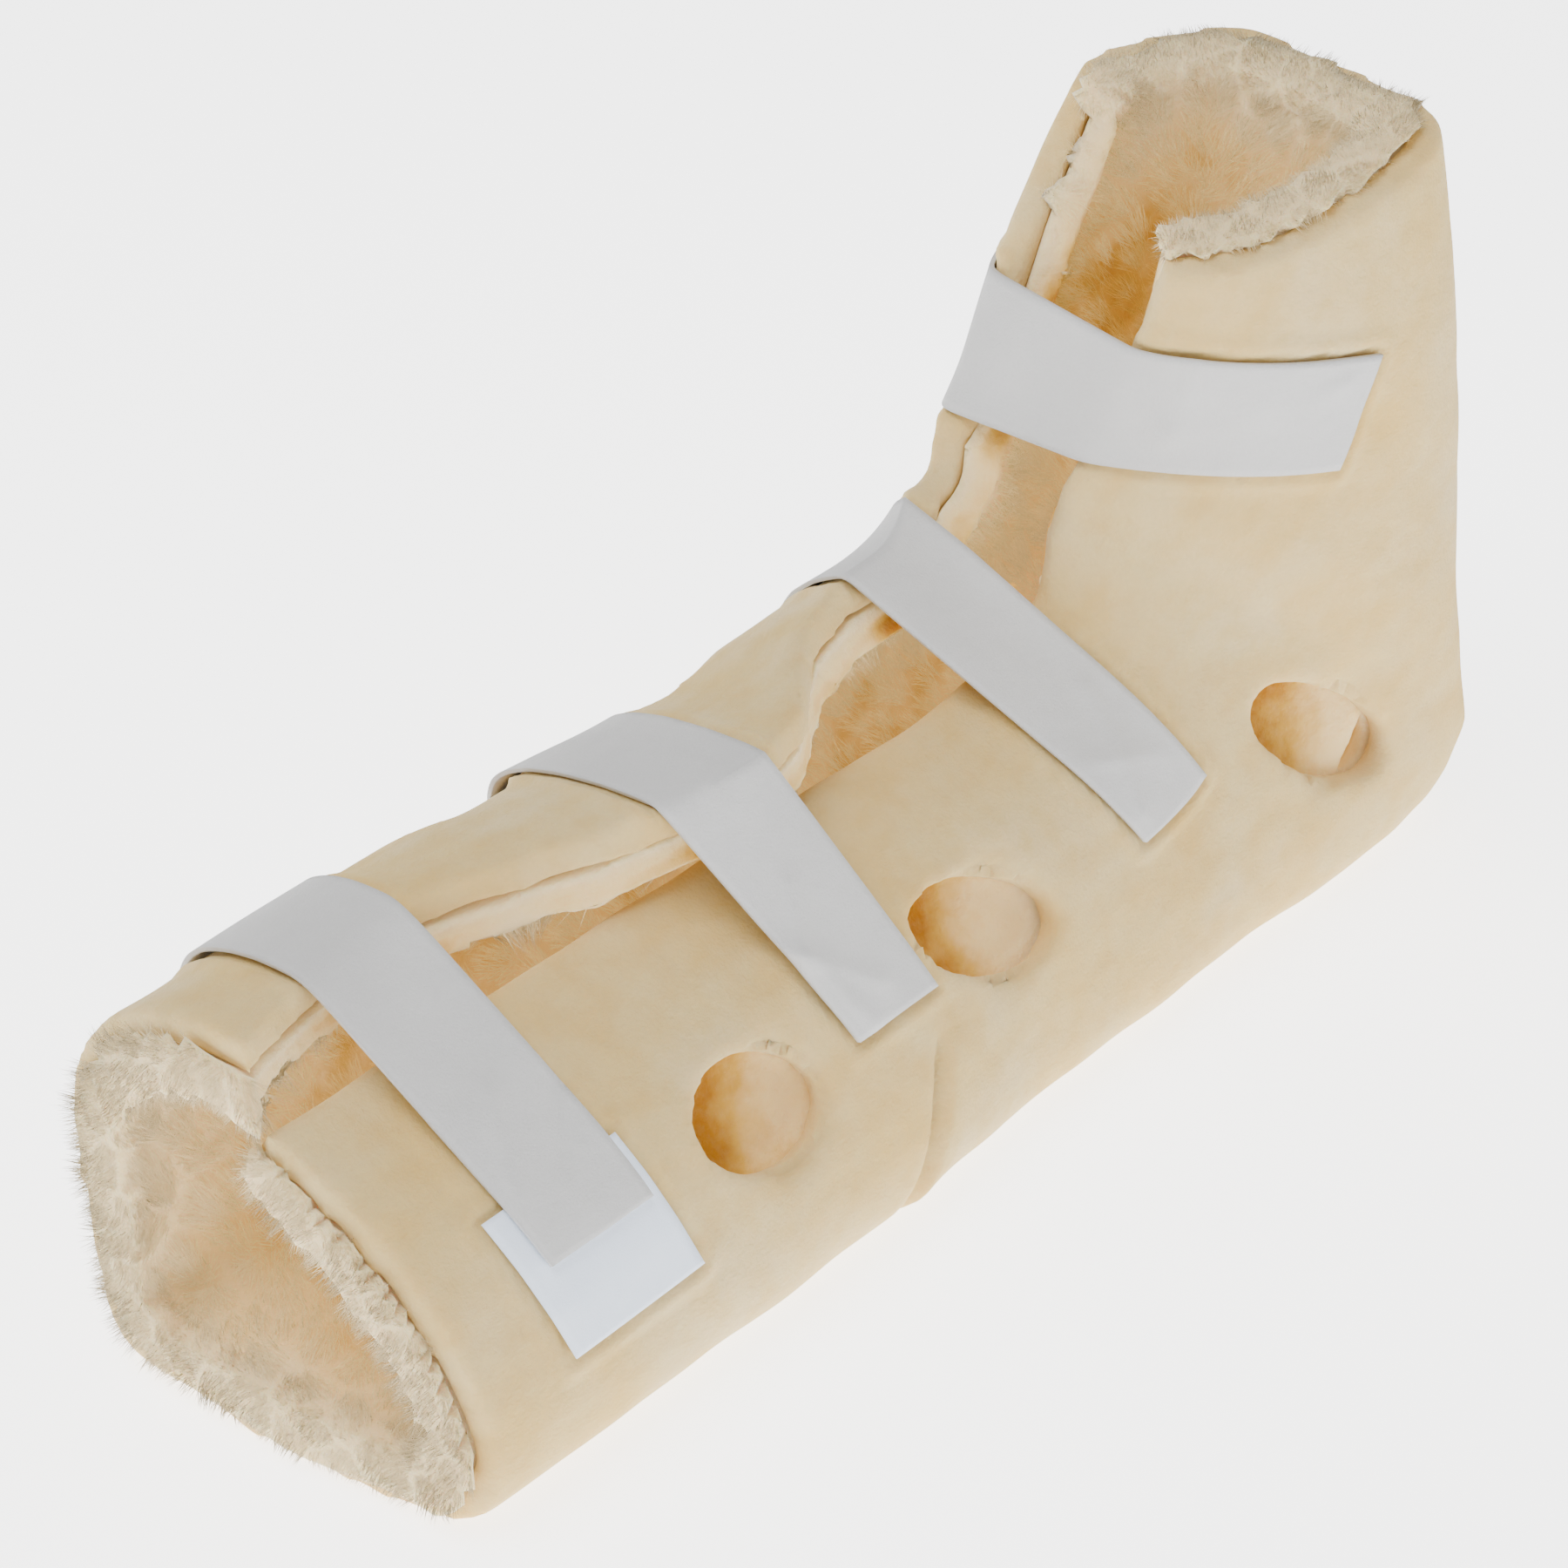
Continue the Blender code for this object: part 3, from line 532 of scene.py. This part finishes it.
for part in range(LOCK_PIECES):
    mine = np.arange(part, LOCKS, LOCK_PIECES)
    mesh = bpy.data.meshes.new("fleece_tufts_%d" % (part + 1))
    faces = (lock_faces[None] + (np.arange(len(mine)) * 4)[:, None, None]).reshape(-1, 3)
    mesh.vertices.add(len(mine) * 4)
    mesh.vertices.foreach_set("co", lock_points[mine].ravel())
    mesh.loops.add(len(faces) * 3)
    mesh.loops.foreach_set("vertex_index", faces.ravel())
    mesh.polygons.add(len(faces))
    mesh.polygons.foreach_set("loop_start", np.arange(len(faces)) * 3)
    mesh.update(calc_edges=True)
    mesh.shade_smooth()
    mesh.normals_split_custom_set_from_vertices(lock_normals[mine].reshape(-1, 3).tolist())
    locks = bpy.data.objects.new(mesh.name, mesh)
    bpy.context.scene.collection.objects.link(locks)
    # painted shade: each lock's root is darker than its tip
    tip_air = np.repeat(lock_air[mine], 4).reshape(-1, 4)
    tip_air[:, 3] += TIP_AIR
    give_air(locks, tip_air.ravel())
    mesh.materials.append(tips_finish)
    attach(locks, "root")


# ---------------------------------------------------------------- the straps
# Four bands of brushed grey-white tape, sewn to the far wall and pressed on to the near one.
# They are pulled flat over the open front. Where they were pressed and peeled the tape has
# kept soft diagonal creases.
STRAP_FINENESS = 2
FOLD_WIDTH = 0.0030
FOLDS_FACE = (-0.4, -0.75, 0.5)
CRISP_TURN = 55.0             # a band's edges that turn by more than this stay crisp
# the strap, its cut length, its cut area, and its folds: from, to and height
STRAPS = (
    ("strap_calf_end", 0.205, 0.00772, (
        ((-0.1711, -0.0256, 0.0981), (-0.1834, -0.0489, 0.0773), 0.0020),
        ((-0.1900, -0.0260, 0.0960), (-0.1834, -0.0489, 0.0773), -0.0016),
        ((-0.1533, -0.0318, 0.0935), (-0.1641, -0.0449, 0.0822), -0.0014))),
    ("strap_calf_middle", 0.191, 0.00689, (
        ((-0.0657, -0.0308, 0.1067), (-0.0715, -0.0409, 0.0912), 0.0015),
        ((-0.0715, -0.0409, 0.0912), (-0.0600, -0.0560, 0.0700), 0.0021),
        ((-0.0800, -0.0370, 0.0970), (-0.0511, -0.0514, 0.0764), 0.0018))),
    ("strap_instep", 0.213, 0.00761, (
        ((0.0661, -0.0274, 0.1031), (0.0611, -0.0535, 0.0736), 0.0021),
        ((0.0520, -0.0400, 0.0900), (0.0760, -0.0470, 0.0840), 0.0014))),
    ("strap_foot", 0.205, 0.00790, (
        ((0.0925, -0.0388, 0.2002), (0.0920, -0.0321, 0.1764), 0.0021),
        ((0.0920, -0.0321, 0.1764), (0.1322, -0.0633, 0.1879), 0.0021))))


def fine_band(node, name, fineness):
    """A fine smooth copy of a flat band, with its outline kept crisp."""
    band = copied(node, name)
    work = bmesh.new()
    work.from_mesh(band.data)
    bmesh.ops.join_triangles(work, faces=work.faces, angle_face_threshold=0.6,
                             angle_shape_threshold=1.2, cmp_seam=False)
    work.edges.ensure_lookup_table()
    crisp = work.edges.layers.float.new("crease_edge")
    for edge in work.edges:
        if len(edge.link_faces) == 2 and edge.calc_face_angle() > math.radians(
                CRISP_TURN):
            edge[crisp] = 1.0
    work.to_mesh(band.data)
    work.free()
    finer = band.modifiers.new("finer", "SUBSURF")
    finer.levels = finer.render_levels = fineness
    return settled(band)


tape_finish = bpy.data.materials.new("brushed_tape")
tape_finish.use_nodes = True
nodes, links = tape_finish.node_tree.nodes, tape_finish.node_tree.links
surface = nodes["Principled BSDF"]
surface.inputs["Roughness"].default_value = 0.80
surface.inputs["Specular IOR Level"].default_value = 0.25
surface.inputs["Sheen Weight"].default_value = 0.12
surface.inputs["Sheen Roughness"].default_value = 0.4
white = mixed(nodes, links, patches(nodes, links, 0.030, 3.0, 0.35, 0.70),
              (0.560, 0.556, 0.550), (0.520, 0.516, 0.512))
white = mixed(nodes, links, patches(nodes, links, 0.0009, 2.0, 0.35, 0.75), white,
              (0.46, 0.455, 0.45), 0.25)
links.new(white, surface.inputs["Base Color"])
relief(nodes, links, surface, [
    (patches(nodes, links, 0.012, 2.0, 0.2, 0.8), 0.0005),
    (patches(nodes, links, 0.0007, 2.0, 0.2, 0.8), 0.00012)])
for node, cut_length, cut_area, folds in STRAPS:
    strap = fine_band(node, node + "_tape", STRAP_FINENESS)
    places, outward = points_of(strap)
    lift = np.zeros(len(places))
    for start, end, high in folds:
        along = np.array(end) - start
        share = np.clip((places - start) @ along / (along @ along), 0.0, 1.0)
        off = np.linalg.norm(places - start - share[:, None] * along, axis=1)
        lift += high * np.exp(-off / FOLD_WIDTH)
    set_points(strap, places + lift[:, None] * np.array(FOLDS_FACE))
    strap.data.materials.append(tape_finish)
    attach(strap, "root")
    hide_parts(node)


# ---------------------------------------------------------------- the label
# A small white woven label, sewn to the foam by its upper edge under the end of the strap
# nearest the open end. It is left bare.
label = fine_band("blank_label", "bare_label", 2)
label_finish = bpy.data.materials.new("white_satin_ribbon")
label_finish.use_nodes = True
nodes, links = label_finish.node_tree.nodes, label_finish.node_tree.links
surface = nodes["Principled BSDF"]
surface.inputs["Roughness"].default_value = 0.55
surface.inputs["Specular IOR Level"].default_value = 0.35
satin = mixed(nodes, links, patches(nodes, links, 0.010, 3.0, 0.35, 0.70),
              (0.80, 0.88, 1.00), (0.76, 0.84, 0.97))
links.new(satin, surface.inputs["Base Color"])
relief(nodes, links, surface, [(patches(nodes, links, 0.0005, 1.0, 0.2, 0.8), 0.00006)])
label.data.materials.append(label_finish)
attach(label, "root")
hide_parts("blank_label")


# ---------------------------------------------------------------- the table and the light
# The boot stands on a plain pale table, lit by a wide soft lamp above the open end, a
# second one on the near side and a pale room.
floor_mesh = bpy.data.meshes.new("pale_table")
floor_mesh.from_pydata([(-6, -6, 0), (6, -6, 0), (6, 6, 0), (-6, 6, 0)], [], [(0, 1, 2, 3)])
floor = bpy.data.objects.new("pale_table", floor_mesh)
floor.location.z = -0.0006
bpy.context.scene.collection.objects.link(floor)
floor_finish = bpy.data.materials.new("pale_table")
floor_finish.use_nodes = True
floor_surface = floor_finish.node_tree.nodes["Principled BSDF"]
floor_surface.inputs["Base Color"].default_value = (0.90, 0.90, 0.90, 1.0)
floor_surface.inputs["Roughness"].default_value = 0.9
floor_surface.inputs["Emission Color"].default_value = (1.0, 1.0, 1.0, 1.0)
floor_surface.inputs["Emission Strength"].default_value = 3.4
floor_mesh.materials.append(floor_finish)
floor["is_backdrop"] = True

room = bpy.data.worlds.new("pale_room")
room.use_nodes = True
room.node_tree.nodes["Background"].inputs["Color"].default_value = (1.0, 1.0, 1.0, 1.0)
room.node_tree.nodes["Background"].inputs["Strength"].default_value = 0.62
bpy.context.scene.world = room


def soft_lamp(name, place, target, size, power):
    """A square lamp that shines from one place to another."""
    lamp = bpy.data.lights.new(name, "AREA")
    lamp.size = size
    lamp.energy = power
    holder = bpy.data.objects.new(name, lamp)
    holder.location = place
    way = Vector(target) - Vector(place)
    holder.rotation_euler = way.to_track_quat("-Z", "Y").to_euler()
    bpy.context.scene.collection.objects.link(holder)


soft_lamp("high_lamp", (-0.7, 0.1, 1.8), (0.0, 0.0, 0.08), 1.1, 34.0)
soft_lamp("near_lamp", (-0.4, -1.8, 0.8), (0.0, 0.0, 0.10), 1.4, 3.0)

# The camera stands in front of the open end, on the near side, and looks down on the boot
CAMERA_PLACE = (-0.6221, -0.5250, 0.6398)
CAMERA_TURN, CAMERA_DROP = 41.7, 34.0
camera = bpy.data.objects.new("camera", bpy.data.cameras.new("camera"))
camera.data.lens = 80.0
camera.data.sensor_width = 36.0
camera.location = CAMERA_PLACE
turn, drop = math.radians(CAMERA_TURN), math.radians(CAMERA_DROP)
sight = Vector((math.cos(drop) * math.cos(turn), math.cos(drop) * math.sin(turn),
                -math.sin(drop)))
camera.rotation_euler = sight.to_track_quat("-Z", "Y").to_euler()
bpy.context.scene.collection.objects.link(camera)
bpy.context.scene.camera = camera

low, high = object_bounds()
